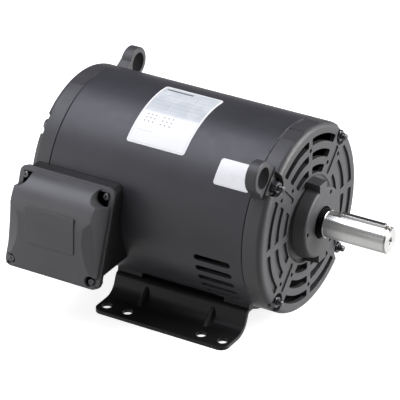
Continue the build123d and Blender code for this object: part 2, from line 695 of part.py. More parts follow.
def shaft_slinger():
    """The rubber ring on the shaft, inside the end shield's bore."""
    start = snap_ring_x() + SNAP_RING + 0.3
    end = FRONT_FACE_X + FRONT_HUB_LENGTH - 0.6
    lip = FRONT_BORE_RADIUS - BODY_GAP
    return AXIS * turned(
        (start, FRONT_BEARING.bore),
        (start, lip),
        (start + 1.2, lip),
        (end, lip - 0.8),
        (end, FRONT_BEARING.bore),
    )


# ================================================================ stator
def stator_slot():
    """One semi-closed slot, in (y, z) about +Y."""
    half = SLOT_WIDTH / 2
    mouth = SLOT_MOUTH / 2
    return outline(
        (STATOR_BORE_RADIUS - 2, -mouth),
        (SLOT_TOP_RADIUS - 1.5, -mouth),
        (SLOT_TOP_RADIUS, -half * 0.8),
        (SLOT_BOTTOM_RADIUS, -half),
        (SLOT_BOTTOM_RADIUS, half),
        (SLOT_TOP_RADIUS, half * 0.8),
        (SLOT_TOP_RADIUS - 1.5, mouth),
        (STATOR_BORE_RADIUS - 2, mouth),
    )


def stator_core():
    core = Circle(SPIGOT_RADIUS) - Circle(STATOR_BORE_RADIUS)
    slots = [Rot(0, 0, angle) * stator_slot() for angle in even(STATOR_SLOTS)]
    passage = Pos(BOLT_CIRCLE_RADIUS + 2, 0) * Rectangle(16, 2 * BOLT_RADIUS + 3)
    passages = [Rot(0, 0, angle) * passage for angle in BOLT_ANGLES]
    return AXIS * across(core - slots - passages, CORE_REAR_X, CORE_FRONT_X)


def end_turns():
    """The bundled coils beyond the core's front, as a rounded ring."""
    start = CORE_FRONT_X + COIL_OVERHANG
    return turned(
        (start, END_TURN_INNER, 5),
        (start + END_TURN_LENGTH, END_TURN_INNER + 1.5, 8),
        (start + END_TURN_LENGTH, END_TURN_OUTER, 8),
        (start, END_TURN_OUTER - 4, 5),
    )


def stator_winding():
    """Every coil side in its slot, and the end turns that join them."""
    half = SLOT_WIDTH / 2 - SLOT_LINER
    side = outline(
        (SLOT_TOP_RADIUS + 0.6, -half * 0.8),
        (SLOT_BOTTOM_RADIUS - SLOT_LINER, -half),
        (SLOT_BOTTOM_RADIUS - SLOT_LINER, half),
        (SLOT_TOP_RADIUS + 0.6, half * 0.8),
    )
    reach = COIL_OVERHANG + END_TURN_LENGTH / 2
    sides = Sketch(children=[Rot(0, 0, angle) * side for angle in even(STATOR_SLOTS)])
    front = end_turns()
    rear = Pos(CORE_FRONT_X + CORE_REAR_X, 0, 0) * Rot(0, 0, 180) * front
    coils = across(sides, CORE_REAR_X - reach, CORE_FRONT_X + reach)
    return AXIS * (front + rear + coils)


# ================================================================ rotor
def key_seat():
    """The slot for the key: a round inner end, and open at the shaft's end."""
    start = SHAFT_SHOULDER_X + KEY_SEAT_START + KEY_WIDTH / 2
    length = SHAFT_END_X + 1 - start
    plan = Pos(start + length / 2, 0) * Rectangle(length, KEY_WIDTH) + Pos(start, 0) * Circle(KEY_WIDTH / 2)
    return Pos(0, 0, KEY_SEAT_FLOOR) * extrude(plan, SHAFT_RADIUS)


def shaft():
    seat_in = FRONT_BEARING_X - FRONT_BEARING.width / 2
    rear_in = REAR_BEARING_X + REAR_BEARING.width / 2
    shoulder = REAR_BEARING.bore + 3.2
    body = turned(
        (SHAFT_REAR_X, 0),
        (SHAFT_REAR_X, REAR_BEARING.bore - 0.8),
        (SHAFT_REAR_X + 0.8, REAR_BEARING.bore),
        (rear_in, REAR_BEARING.bore),
        (rear_in, shoulder),
        (rear_in + 5, shoulder),
        (rear_in + 5, SHAFT_BODY_RADIUS),
        (CORE_REAR_X - 4, SHAFT_BODY_RADIUS),
        (CORE_REAR_X - 4, CORE_SEAT_RADIUS),
        (CORE_FRONT_X, CORE_SEAT_RADIUS),
        (CORE_FRONT_X, SHAFT_BODY_RADIUS),
        (seat_in, SHAFT_BODY_RADIUS),
        (seat_in, FRONT_BEARING.bore),
        (snap_ring_x(), FRONT_BEARING.bore),
        (snap_ring_x(), FRONT_BEARING.bore - 0.8),
        (snap_ring_x() + SNAP_RING, FRONT_BEARING.bore - 0.8),
        (snap_ring_x() + SNAP_RING, FRONT_BEARING.bore),
        (SHAFT_SHOULDER_X - 0.4, FRONT_BEARING.bore),
        (SHAFT_SHOULDER_X, FRONT_BEARING.bore - 0.4),
        (SHAFT_SHOULDER_X, SHAFT_RADIUS),
        (SHAFT_END_X - SHAFT_END_CHAMFER, SHAFT_RADIUS),
        (SHAFT_END_X, SHAFT_RADIUS - SHAFT_END_CHAMFER),
        (SHAFT_END_X, CENTRE_DRILL_RADIUS),
        (SHAFT_END_X - CENTRE_DRILL_RADIUS, 1.5),
        (SHAFT_END_X - CENTRE_DRILL_DEPTH, 1.5),
        (SHAFT_END_X - CENTRE_DRILL_DEPTH, 0),
    )
    return AXIS * (body - key_seat())


def shaft_key():
    """A bar of square key steel with a small chamfer along its top edges."""
    middle = SHAFT_SHOULDER_X + KEY_START + KEY_LENGTH / 2
    bar = Pos(middle, 0, KEY_SEAT_FLOOR + KEY_WIDTH / 2) * Box(KEY_LENGTH, KEY_WIDTH - 0.04, KEY_WIDTH)
    return AXIS * chamfer(bar.edges().group_by(Axis.Z)[-1], KEY_CHAMFER)


def rotor_bar():
    top = BAR_WIDTH / 2
    return outline(
        (BAR_BOTTOM_RADIUS, -top * 0.6),
        (BAR_TOP_RADIUS, -top),
        (BAR_TOP_RADIUS, top),
        (BAR_BOTTOM_RADIUS, top * 0.6),
    )


def rotor_core():
    disc = Circle(STATOR_BORE_RADIUS - AIR_GAP) - Circle(CORE_SEAT_RADIUS)
    slots = [Rot(0, 0, angle) * rotor_bar() for angle in even(ROTOR_SLOTS)]
    return AXIS * across(disc - slots, CORE_REAR_X, CORE_FRONT_X)


def fan_end():
    """The cast end ring in front of the core, with its fan blades."""
    rim = STATOR_BORE_RADIUS - AIR_GAP - 0.6
    ring = tube(CORE_FRONT_X, CORE_FRONT_X + END_RING_LENGTH, rim, END_RING_BORE)
    ring = chamfer(ring.edges().group_by(Axis.X)[-1], 1.5)
    root = CORE_FRONT_X + END_RING_LENGTH - 2
    tip = CORE_FRONT_X + END_RING_LENGTH + FAN_BLADE_LENGTH
    blade = outline((root, END_RING_BORE + 2), (root, rim - 2), (tip, rim - 4, 3), (tip, END_RING_BORE + 8, 5))
    blade = extrude(blade, FAN_BLADE_THICKNESS / 2, both=True)
    return ring + around(blade, even(FAN_BLADES))


def rotor_cage():
    bars = Sketch(children=[Rot(0, 0, angle) * rotor_bar() for angle in even(ROTOR_SLOTS)])
    bars = across(bars, CORE_REAR_X, CORE_FRONT_X)
    front = fan_end()
    rear = Pos(CORE_FRONT_X + CORE_REAR_X, 0, 0) * Rot(0, 0, 180) * front
    return AXIS * (front + rear + bars)


# ================================================================ terminal box
def in_parting(shape):
    """Places a shape modelled in the parting plane: x across, y up the plane, z outwards."""
    return PARTING.location * shape


def flange_plate(z0, z1):
    sheet = RectangleRounded(2 * FLANGE_HALF_WIDTH, 2 * FLANGE_HALF_HEIGHT, FLANGE_CORNER)
    return in_parting(extrude(Pos(0, 0, z0) * sheet, z1 - z0))


def at_cover_screws(radius, z0, z1):
    discs = Sketch(children=[Pos(x, y) * Circle(radius) for x, y in COVER_SCREWS])
    return in_parting(extrude(Pos(0, 0, z0) * discs, z1 - z0))


def box_block(inset):
    """The box's outside, or with an inset its inside, before the frame and cover trim it."""
    width = 2 * (BOX_HALF_WIDTH - inset)
    height = BOX_TOP_Z - BOX_BOTTOM_Z - 2 * inset
    sheet = RectangleRounded(width, height, BOX_CORNER - inset)
    middle = (BOX_TOP_Z + BOX_BOTTOM_Z) / 2
    return toward_box(Pos(BOX_X, middle) * sheet, -BORE_RADIUS + 40, -BORE_RADIUS - 70)


def beyond_parting(z):
    return in_parting(extrude(Pos(0, 0, z) * Rectangle(FAR, FAR), FAR))


def round_frame(radius):
    return AXIS * tube(FRAME_REAR_X - 40, FRAME_FRONT_X, radius)


def box_skirt():
    """The deeper lip under the box's mouth."""
    mouth_y = PARTING_Y - (PARTING_Z - BOX_SKIRT_Z) * tan(radians(BOX_TILT))
    sheet = Pos(BOX_X, (BOX_SKIRT_Z + BOX_BOTTOM_Z + 10) / 2) * Rectangle(
        2 * BOX_HALF_WIDTH - 4, BOX_BOTTOM_Z + 10 - BOX_SKIRT_Z
    )
    return toward_box(sheet, mouth_y + BOX_SKIRT_LENGTH, mouth_y - 10)


def terminal_box():
    mouth = -COVER_GASKET
    outside = box_block(0) + box_skirt() - beyond_parting(mouth)
    outside += flange_plate(mouth - FLANGE_THICKNESS, mouth)
    inside = box_block(BOX_WALL) - round_frame(FRAME_RADIUS + BOX_GASKET + BOX_WALL)
    bosses = at_cover_screws(COVER_BOSS_RADIUS, mouth - COVER_BOSS_LENGTH, mouth) & outside
    box = outside - round_frame(FRAME_RADIUS + BOX_GASKET) - inside + bosses
    box -= at_cover_screws(COVER_SCREW_RADIUS + FIXED_FIT, mouth - COVER_BOSS_LENGTH + 1, mouth + 1)
    box -= lead_hole(LEAD_HOLE_RADIUS) + box_screw_holes(BOX_SCREW_RADIUS + FIXED_FIT)
    conduit = Pos(BOX_X, CONDUIT_Y, BOX_BOTTOM_Z - 5) * Cylinder(CONDUIT_RADIUS, 20)
    return box - conduit


def box_gasket():
    """The sheet between the box's curved back and the frame."""
    sheet = box_block(0) & round_frame(FRAME_RADIUS + BOX_GASKET)
    sheet -= round_frame(FRAME_RADIUS)
    return sheet - lead_hole(LEAD_HOLE_RADIUS) - box_screw_holes(BOX_SCREW_RADIUS + FIXED_FIT)


def cover_gasket():
    width = 2 * (FLANGE_HALF_WIDTH - GASKET_INSET)
    height = 2 * (FLANGE_HALF_HEIGHT - GASKET_INSET)
    sheet = RectangleRounded(width, height, FLANGE_CORNER)
    hollow = RectangleRounded(width - 2 * GASKET_BAND, height - 2 * GASKET_BAND, FLANGE_CORNER)
    ears = [Pos(x, y) * Circle(COVER_BOSS_RADIUS) for x, y in COVER_SCREWS]
    sheet = sheet - hollow + ears
    gasket = in_parting(extrude(Pos(0, 0, -COVER_GASKET) * sheet, COVER_GASKET))
    return gasket - at_cover_screws(COVER_SCREW_RADIUS + BOLT_CLEARANCE, -FAR, FAR)


def cover_depth():
    """The cover's depth along the parting plane's normal, at the plane's middle."""
    between = radians(BOX_TILT - COVER_FRONT_LEAN)
    return (PARTING_Y - COVER_FRONT_Y) * cos(radians(COVER_FRONT_LEAN)) / cos(between)


def cover_wedge(inset):
    """The raised part of the cover in the parting plane's directions, shrunk by an inset.
    Seen from the side it fills the wedge between the leaning mouth and the front face."""
    tilt = tan(radians(BOX_TILT))
    rise = tan(radians(BOX_TILT - COVER_FRONT_LEAN))
    draft = radians(COVER_DRAFT)
    depth = cover_depth() - inset
    top = FLANGE_HALF_HEIGHT - COVER_INSET - inset
    crown_z = (depth + top * rise) / (1 + rise * tilt)
    crown_y = top - crown_z * tilt
    side = outline(
        (-top, 0),
        (-top, depth - top * rise),
        (crown_y, crown_z, COVER_CROWN_RADIUS - inset),
        (top, 0),
    )
    half = FLANGE_HALF_WIDTH - COVER_INSET - inset / cos(draft)
    narrow = half - crown_z * tan(draft)
    plan = Polygon((-half, 0), (half, 0), (narrow, crown_z), (-narrow, crown_z), align=None)
    return extrude(Plane.YZ * side, half, both=True) & extrude(Plane.XZ * plan, FAR, both=True)


def side_facets(grow):
    """The wide hollow facets on the front's two sides: a trough that deepens outwards."""
    radius = FACET_HALF_LENGTH ** 2 / (2 * FACET_DROP)
    dip = degrees(atan2(FACET_DROP, FACET_INSET))
    half = FLANGE_HALF_WIDTH - COVER_INSET
    lean = radians(COVER_FRONT_LEAN)
    front = Plane(origin=(BOX_X, COVER_FRONT_Y, PARTING_Z), x_dir=(1, 0, 0), z_dir=(0, -cos(lean), sin(lean)))
    trough = Pos(0, 0, radius) * Rot(0, 90, 0) * Cylinder(radius + grow, 6 * FACET_INSET)
    trough = Pos(half - FACET_INSET, FACET_MIDDLE, 0) * Rot(0, dip, 0) * trough
    near = front.location * trough
    return near + mirror(near, Plane.YZ.offset(BOX_X))


def cover_scoops(grow):
    """Finger room for the driver over each screw; the upper two run out at the corners."""
    sketch = Sketch()
    for x, y in COVER_SCREWS:
        radius = (SCOOP_RADIUS if y > 0 else WELL_RADIUS) + grow
        sketch += Pos(x, y) * Circle(radius)
        if y > 0:
            side = 1 if x > 0 else -1
            corner = Pos(x + side * radius, y + radius) * Rectangle(2 * radius, 2 * radius)
            sketch += corner
    return extrude(Pos(0, 0, COVER_SLAB) * sketch, FAR)


def badge():
    """The plain raised field in the middle of the cover's front."""
    lean = radians(COVER_FRONT_LEAN)
    face_y = COVER_FRONT_Y + (BADGE_Z - PARTING_Z) * tan(lean)
    front = Plane(origin=(BOX_X, face_y, BADGE_Z), x_dir=(1, 0, 0), z_dir=(0, -cos(lean), sin(lean)))
    field = RectangleRounded(BADGE_WIDTH, BADGE_HEIGHT, 2.0)
    return extrude(front.offset(-COVER_WALL / 2) * field, COVER_WALL / 2 + BADGE_RELIEF)


def terminal_cover():
    shell = in_parting(cover_wedge(0) - cover_scoops(0)) - side_facets(0)
    hollow = in_parting(cover_wedge(COVER_WALL) - cover_scoops(COVER_WALL)) - side_facets(COVER_WALL)
    cover = shell + flange_plate(0, COVER_SLAB) - hollow
    cover += badge()
    return cover - at_cover_screws(COVER_SCREW_RADIUS + BOLT_CLEARANCE, -1, FAR)


def cover_screws():
    heads = at_cover_screws(COVER_HEAD_RADIUS, COVER_SLAB, COVER_SLAB + COVER_HEAD_HEIGHT)
    rims = heads.edges().filter_by(GeomType.CIRCLE).group_by(Axis((0, 0, 0), tuple(PARTING.z_dir)))[-1]
    heads = chamfer(rims, 0.7)
    cross = Rectangle(CROSS_LENGTH, CROSS_WIDTH) + Rectangle(CROSS_WIDTH, CROSS_LENGTH)
    crosses = Sketch(children=[Pos(x, y) * Rot(0, 0, 30) * cross for x, y in COVER_SCREWS])
    top = COVER_SLAB + COVER_HEAD_HEIGHT
    heads -= in_parting(extrude(Pos(0, 0, top - CROSS_DEPTH) * crosses, 2 * CROSS_DEPTH))
    shanks = at_cover_screws(COVER_SCREW_RADIUS, -COVER_GASKET - COVER_BOSS_LENGTH + 2, COVER_SLAB)
    return joined([heads + shanks])


def box_screw(x, head_height):
    seat = -FRAME_RADIUS - BOX_GASKET - BOX_WALL
    place = Pos(BOX_X + x, SHAFT_HEIGHT)
    shank = toward_box(place * Circle(BOX_SCREW_RADIUS), -BORE_RADIUS - 0.5, seat)
    hexagon = RegularPolygon(BOX_SCREW_FLATS / 2, 6, major_radius=False)
    return shank + toward_box(place * hexagon, seat, seat - head_height)


def box_screws():
    return joined([box_screw(x, BOX_SCREW_HEAD) for x in (-MOUNT_SCREW_X, MOUNT_SCREW_X)])


def lead_grommet():
    """The rubber bush in the lead hole, with a lip on each side of the wall."""
    seat = -FRAME_RADIUS - BOX_GASKET - BOX_WALL
    inner = -sqrt(BORE_RADIUS ** 2 - (LEAD_HOLE_RADIUS + 2.2) ** 2) + 0.2
    place = Pos(BOX_X, SHAFT_HEIGHT)
    throat = Circle(LEAD_HOLE_RADIUS - 4)
    body = toward_box(place * (Circle(LEAD_HOLE_RADIUS - FIXED_FIT) - throat), inner + 2, seat)
    body += toward_box(place * (Circle(LEAD_HOLE_RADIUS + 3) - throat), seat, seat - 2.2)
    return body + toward_box(place * (Circle(LEAD_HOLE_RADIUS + 2) - throat), inner + 2.2, inner)


# ================================================================ plates
def curved_plate(place):
    """A thin plate rolled round the frame, with rounded corners."""
    x0, x1, a0, a1 = place
    width = 2 * FRAME_RADIUS * sin(radians((a1 - a0) / 2))
    plane = Plane(origin=((x0 + x1) / 2, FRAME_RADIUS / 2, 0), x_dir=(1, 0, 0), z_dir=(0, 1, 0))
    cutter = extrude(plane * RectangleRounded(x1 - x0, width, PLATE_CORNER), FRAME_RADIUS)
    back = FRAME_RADIUS + PLATE_GLUE
    skin = tube(x0 - 1, x1 + 1, back + PLATE_SHEET, back)
    return AXIS * (skin & (Rot((a0 + a1) / 2, 0, 0) * cutter))


# ================================================================ the motor
def main():
    os.makedirs("parts", exist_ok=True)
    save(frame_shell(), "frame_shell")
    save(foot_base(), "foot_base")
    save(base_welds(), "base_welds")
    save(drive_endshield(), "drive_endshield")
    save(rear_endshield(), "rear_endshield")
    save(through_bolts(), "through_bolts")
    save(bolt_nuts(), "bolt_nuts")
    save(lock_washers(), "lock_washers")
    save(air_baffle(True), "drive_air_baffle")
    save(air_baffle(False), "rear_air_baffle")
    save(stator_core(), "stator_core")
    save(stator_winding(), "stator_winding")
    save_bearing(FRONT_BEARING, FRONT_BEARING_X, "drive")
    save_bearing(REAR_BEARING, REAR_BEARING_X, "rear")
    save(preload_spring(), "preload_spring")
    save(shaft(), "shaft")
    save(shaft_key(), "shaft_key")
    save(rotor_core(), "rotor_core")
    save(rotor_cage(), "rotor_cage")
    save(bearing_snap_ring(), "bearing_snap_ring")
    save(shaft_slinger(), "shaft_slinger")
    save(terminal_box(), "terminal_box")
    save(box_gasket(), "box_gasket")
    save(cover_gasket(), "cover_gasket")
    save(terminal_cover(), "terminal_cover")
    save(cover_screws(), "cover_screws")
    save(box_screws(), "box_screws")
    save(box_screw(GROUND_SCREW_X, BOX_SCREW_HEAD + 0.8), "ground_screw")
    save(lead_grommet(), "lead_grommet")
    save(curved_plate(NAMEPLATE), "nameplate")
    save(curved_plate(INFO_LABEL), "info_label")


main()
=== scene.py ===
import math

import bmesh
import bpy
from mathutils import Matrix, Vector


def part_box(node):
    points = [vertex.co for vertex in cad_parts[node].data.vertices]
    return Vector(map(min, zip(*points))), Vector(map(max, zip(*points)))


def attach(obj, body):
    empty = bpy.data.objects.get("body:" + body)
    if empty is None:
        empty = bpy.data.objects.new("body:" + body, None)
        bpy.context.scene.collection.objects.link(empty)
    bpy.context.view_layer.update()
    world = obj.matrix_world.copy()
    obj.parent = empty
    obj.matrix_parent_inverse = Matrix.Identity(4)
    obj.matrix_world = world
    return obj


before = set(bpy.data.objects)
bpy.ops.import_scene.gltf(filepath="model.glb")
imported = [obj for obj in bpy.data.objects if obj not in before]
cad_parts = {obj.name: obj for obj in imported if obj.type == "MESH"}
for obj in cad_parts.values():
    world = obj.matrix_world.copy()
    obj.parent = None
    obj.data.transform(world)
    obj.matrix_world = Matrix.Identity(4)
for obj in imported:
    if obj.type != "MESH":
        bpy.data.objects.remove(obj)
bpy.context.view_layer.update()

# ---------------------------------------------------------------- camera, metres and degrees
CAMERA_TARGET = Vector((0.0017, -0.0250, 0.1159))
CAMERA_DISTANCE = 2.950
CAMERA_AZIMUTH = 30.717
CAMERA_ELEVATION = 28.352
CAMERA_ROLL = -0.135
SENSOR_WIDTH = 36.0
FOCAL_LENGTH = 257.07
CLIP_END = 50.0

# ---------------------------------------------------------------- sizes of the motor, metres
MM_PER_METRE = 1000.0
SHAFT_HEIGHT = 0.1143
SHAFT_SHOULDER = 0.1397
DRIVE_FACE = 0.1108             # the end shields' outer faces along x
REAR_FACE = -0.1531
EYE_OFFSET = 0.1145 * math.sqrt(0.5)    # lifting eyes' centres, aside of and above the shaft
EYE_RADIUS = 0.011
STUD_OFFSET = 0.093 * math.sqrt(0.5)
STUD_RADIUS = 0.003175

# The end shields' painted shade, dark and dull, is laid on by place where shade falls: in the eyes,
# on the windows' walls and deep within the rim.
WINDOWS_FROM = 0.050            # round the shaft's axis; the first windows start 1 mm inside this
RIM_INSIDE = 0.0975             # round the shaft's axis; outside the last windows
ARM_MARGIN = 0.005              # left bare beside the diagonal arms
EYE_FADE = (0.0001, 0.0008)     # outside the eye's wall
WALL_FADE = (0.0003, 0.0012)    # behind the outer face, on the windows' walls
DEEP_FADE = (0.0028, 0.0036)    # behind the outer face, everywhere within the rim
JOURNAL_MARGIN = 0.0005         # the shaft is bare from this far behind its shoulder

# The threads past the nuts: a ridge on a root that is sunk in the stud.
THREAD_PITCH = 0.00127
THREAD_HEIGHT = 0.00022
THREAD_SEGMENTS = 20            # to a turn
THREAD_FADE = 0.25              # turns over which a thread rises from the stud, and sinks again
THREAD_FLANK = 0.36             # half a ridge's width, in pitches
THREAD_SUNK = 0.00006
RUNOUT_HEIGHT = 0.00002         # what is left of the ridge above its root at its ends
FREE_AT_NUT = 0.4               # pitches left plain
FREE_AT_END = 0.5

# ---------------------------------------------------------------- the plates' ruling, millimetres
PLATE_BORDER = (2.0, 0.4)       # inset from the edge, and thickness
LABEL_BORDER = (1.4, 0.3)
PANEL_FADE = (39.0, 43.0)       # up the plate, where bare foil goes over to the cool panel
ROWS = (47.0, 5.8, 6)           # the first ruled line, the pitch and how many
ROW_HALF = 0.22
POSTS = (24.0, 22.0, 2)
POST_HALF = 0.2
POST_ENDS = (47.0, 76.0)
RULED_SIDES = (4.5, 64.0)
FOOT_RULE = ((6.0, 24.0), (15.6, 16.1))     # limits across, and up
HEAD_BAR = ((5.0, 36.0), (79.8, 82.6))
DOT_BLOCKS = (                  # the first dot and the pitch, each across and up
    ((9.0, 27.4), (4.7, 4.6)),
    ((28.0, 26.8), (5.2, 4.9)),
)
DOT_COUNT = 3                   # to a row, and rows to a block
DOT_RADIUS = 0.75

# ---------------------------------------------------------------- shared by the materials
TURNED = (40.0, 0.6, 0.6)       # stretches noise into marks that run round the x axis
DRAWN = (0.4, 6.0, 6.0)         # and into marks that run along it
STACKED = (10.0, 0.2, 0.2)      # and into the edges of thin sheets
SHADE_AND_JOURNAL_GREY = 0.006               # the grey of the painted shade inside windows, eyes and pockets, and of the dark journal behind the shaft's shoulder
METAL_RELIEF = 0.000006
METAL_EDGE = 0.0004
FINE_RELIEF = 0.00003
PLATE_RELIEF = 0.00002


# ================================================================ node helpers
def grey(value, blue=0.0):
    return (value, value, value + blue)


def blank_material(name):
    """A new material with one Principled shader, its node tree and the shader."""
    material = bpy.data.materials.new(name)
    material.use_nodes = True
    tree = material.node_tree
    tree.nodes.clear()
    out = tree.nodes.new("ShaderNodeOutputMaterial")
    shader = tree.nodes.new("ShaderNodeBsdfPrincipled")
    tree.links.new(shader.outputs[0], out.inputs["Surface"])
    return material, tree, shader


def shader_of(material):
    return next(node for node in material.node_tree.nodes if node.type == "BSDF_PRINCIPLED")


def feed(shader, name):
    """The socket that feeds one of a shader's inputs."""
    return shader.inputs[name].links[0].from_socket


def place(tree, stretch=None):
    """The object's own place in metres, stretched along its axes if asked."""
    where = tree.nodes.new("ShaderNodeTexCoord").outputs["Object"]
    if stretch:
        mapping = tree.nodes.new("ShaderNodeMapping")
        mapping.inputs["Scale"].default_value = stretch
        tree.links.new(where, mapping.inputs[0])
        where = mapping.outputs[0]
    return where


def split_axes(tree, vector):
    """The x, y and z of a vector."""
    split = tree.nodes.new("ShaderNodeSeparateXYZ")
    tree.links.new(vector, split.inputs[0])
    return tuple(split.outputs)


def noise(tree, scale, detail=3.0, rough=0.5, stretch=None):
    """Noise over the object's own place, in features per metre."""
    made = tree.nodes.new("ShaderNodeTexNoise")
    made.inputs["Scale"].default_value = scale
    made.inputs["Detail"].default_value = detail
    made.inputs["Roughness"].default_value = rough
    tree.links.new(place(tree, stretch), made.inputs["Vector"])
    return made.outputs["Fac"]


def ramp(tree, source, stops):
    """A colour ramp over a value; stops are (place, (r, g, b))."""
    made = tree.nodes.new("ShaderNodeValToRGB")
    ends = made.color_ramp.elements
    while len(ends) < len(stops):
        ends.new(0.5)
    for end, (spot, colour) in zip(ends, stops):
        end.position = spot
        end.color = (*colour, 1.0)
    tree.links.new(source, made.inputs[0])
    return made.outputs[0]


def spread(tree, source, low, high, start=0.3, end=0.7, smooth=False):
    """Maps a value from start..end to low..high."""
    made = tree.nodes.new("ShaderNodeMapRange")
    if smooth:
        made.interpolation_type = "SMOOTHSTEP"
    made.inputs["From Min"].default_value = start
    made.inputs["From Max"].default_value = end
    made.inputs["To Min"].default_value = low
    made.inputs["To Max"].default_value = high
    tree.links.new(source, made.inputs["Value"])
    return made.outputs[0]


def mix_colour(tree, share, first, second):
    """Colour first, going over to second as share goes to 1."""
    made = tree.nodes.new("ShaderNodeMix")
    made.data_type = "RGBA"
    tree.links.new(share, made.inputs[0])
    for slot, value in ((made.inputs[6], first), (made.inputs[7], second)):
        if isinstance(value, tuple):
            slot.default_value = (*value, 1.0)
        else:
            tree.links.new(value, slot)
    return made.outputs[2]


def rounded_normal(tree, radius):
    """The normal as it would be with every sharp edge rounded."""
    rounded = tree.nodes.new("ShaderNodeBevel")
    rounded.samples = 4
    rounded.inputs["Radius"].default_value = radius
    return rounded.outputs[0]


def edge_share(tree, rounded, gain):
    """Near 1 along sharp edges, 0 on open faces."""
    calc = maths(tree)
    flat = tree.nodes.new("ShaderNodeNewGeometry")
    product = tree.nodes.new("ShaderNodeVectorMath")
    product.operation = "DOT_PRODUCT"
    tree.links.new(rounded, product.inputs[0])
    tree.links.new(flat.outputs["Normal"], product.inputs[1])
    share = tree.nodes.new("ShaderNodeClamp")
    lack = calc("SUBTRACT", 1.0, product.outputs["Value"])
    tree.links.new(calc("MULTIPLY", lack, gain), share.inputs[0])
    return share.outputs[0]


def bump(tree, shader, source, height, under=None):
    """Relief of a height in metres, over another normal if there is one."""
    made = tree.nodes.new("ShaderNodeBump")
    made.inputs["Distance"].default_value = height
    tree.links.new(source, made.inputs["Height"])
    if under:
        tree.links.new(under, made.inputs["Normal"])
    tree.links.new(made.outputs[0], shader.inputs["Normal"])


# ================================================================ maths over sockets
def maths(tree):
    """A function that adds one maths node to a tree, over sockets and plain numbers."""
    def calc(operation, *values):
        made = tree.nodes.new("ShaderNodeMath")
        made.operation = operation
        for slot, value in zip(made.inputs, values):
            if isinstance(value, (int, float)):
                slot.default_value = value
            else:
                tree.links.new(value, slot)
        return made.outputs[0]
    return calc


def diagonal(tree, first, second):
    """The length whose two legs are given."""
    calc = maths(tree)
    return calc("SQRT", calc("ADD", calc("POWER", first, 2.0), calc("POWER", second, 2.0)))


def within(tree, value, low, high):
    """1 between two values, else 0."""
    calc = maths(tree)
    return calc("MULTIPLY", calc("GREATER_THAN", value, low), calc("LESS_THAN", value, high))


def largest(tree, first, *others):
    """The largest of several values, which joins masks."""
    calc = maths(tree)
    for other in others:
        first = calc("MAXIMUM", first, other)
    return first


def from_ends(tree, value, low, high):
    """How far a value lies inside the nearer of two ends."""
    calc = maths(tree)
    off_middle = calc("ABSOLUTE", calc("SUBTRACT", value, (low + high) / 2))
    return calc("SUBTRACT", (high - low) / 2, off_middle)


def off_marks(tree, value, start, pitch, count):
    """How far a length lies from the nearest of some marks, the first at start and pitch apart."""
    calc = maths(tree)
    cell = calc("DIVIDE", calc("SUBTRACT", value, start), pitch)
    nearest = calc("ROUND", calc("MINIMUM", calc("MAXIMUM", cell, 0.0), count - 1))
    return calc("ABSOLUTE", calc("MULTIPLY", calc("SUBTRACT", cell, nearest), pitch))


# ================================================================ materials
def painted(name, dark, light, worn, rough, grain=1100.0, relief=FINE_RELIEF, edge=0.0007,
            level=0.5):
    """Sprayed enamel: faint orange peel, soft changes of tone and gloss, and paler rubbed edges."""
    material, tree, shader = blank_material(name)
    tone = noise(tree, 16.0, detail=5.0)
    wear = noise(tree, 90.0, detail=4.0)
    gloss = noise(tree, 70.0, detail=4.0, rough=0.6)
    rounded = rounded_normal(tree, edge)
    rubbed = maths(tree)("MULTIPLY", edge_share(tree, rounded, 5.0),
                         spread(tree, wear, 0.15, 1.0, 0.35, 0.65))
    colour = ramp(tree, tone, [(0.35, dark), (0.65, light)])
    tree.links.new(mix_colour(tree, rubbed, colour, worn), shader.inputs["Base Color"])
    tree.links.new(spread(tree, gloss, rough - 0.04, rough + 0.06), shader.inputs["Roughness"])
    shader.inputs["Specular IOR Level"].default_value = level
    bump(tree, shader, noise(tree, grain, detail=2.0), relief, rounded)
    return material


def moulded(name, dark, light, rough, grain=1400.0, edge=0.0006, level=0.5):
    """Fine-grained plastic, varnish or rubber."""
    material, tree, shader = blank_material(name)
    tone = noise(tree, 30.0, detail=4.0)
    tree.links.new(ramp(tree, tone, [(0.3, dark), (0.7, light)]), shader.inputs["Base Color"])
    tree.links.new(spread(tree, tone, rough - 0.04, rough + 0.05), shader.inputs["Roughness"])
    shader.inputs["Specular IOR Level"].default_value = level
    bump(tree, shader, noise(tree, grain, detail=2.0), FINE_RELIEF, rounded_normal(tree, edge))
    return material


def smooth_metal(name, light, dark, rough, stretch, scale):
    """Metal with fine marks in its colour alone; the last that it gives is those marks."""
    material, tree, shader = blank_material(name)
    marks = noise(tree, scale, detail=4.0, rough=0.6, stretch=stretch)
    stain = noise(tree, 45.0, detail=4.0, rough=0.6)
    colour = ramp(tree, marks, [(0.3, dark), (0.7, light)])
    faded = mix_colour(tree, spread(tree, stain, 0.0, 0.25), colour, dark)
    tree.links.new(faded, shader.inputs["Base Color"])
    shader.inputs["Metallic"].default_value = 1.0
    tree.links.new(spread(tree, stain, rough - 0.03, rough + 0.05), shader.inputs["Roughness"])
    return material, tree, shader, marks


def machined(name, light, dark, rough, stretch=None, scale=400.0):
    """Metal with fine marks along one direction, in colour and in relief."""
    material, tree, shader, marks = smooth_metal(name, light, dark, rough, stretch, scale)
    bump(tree, shader, marks, METAL_RELIEF, rounded_normal(tree, METAL_EDGE))
    return material


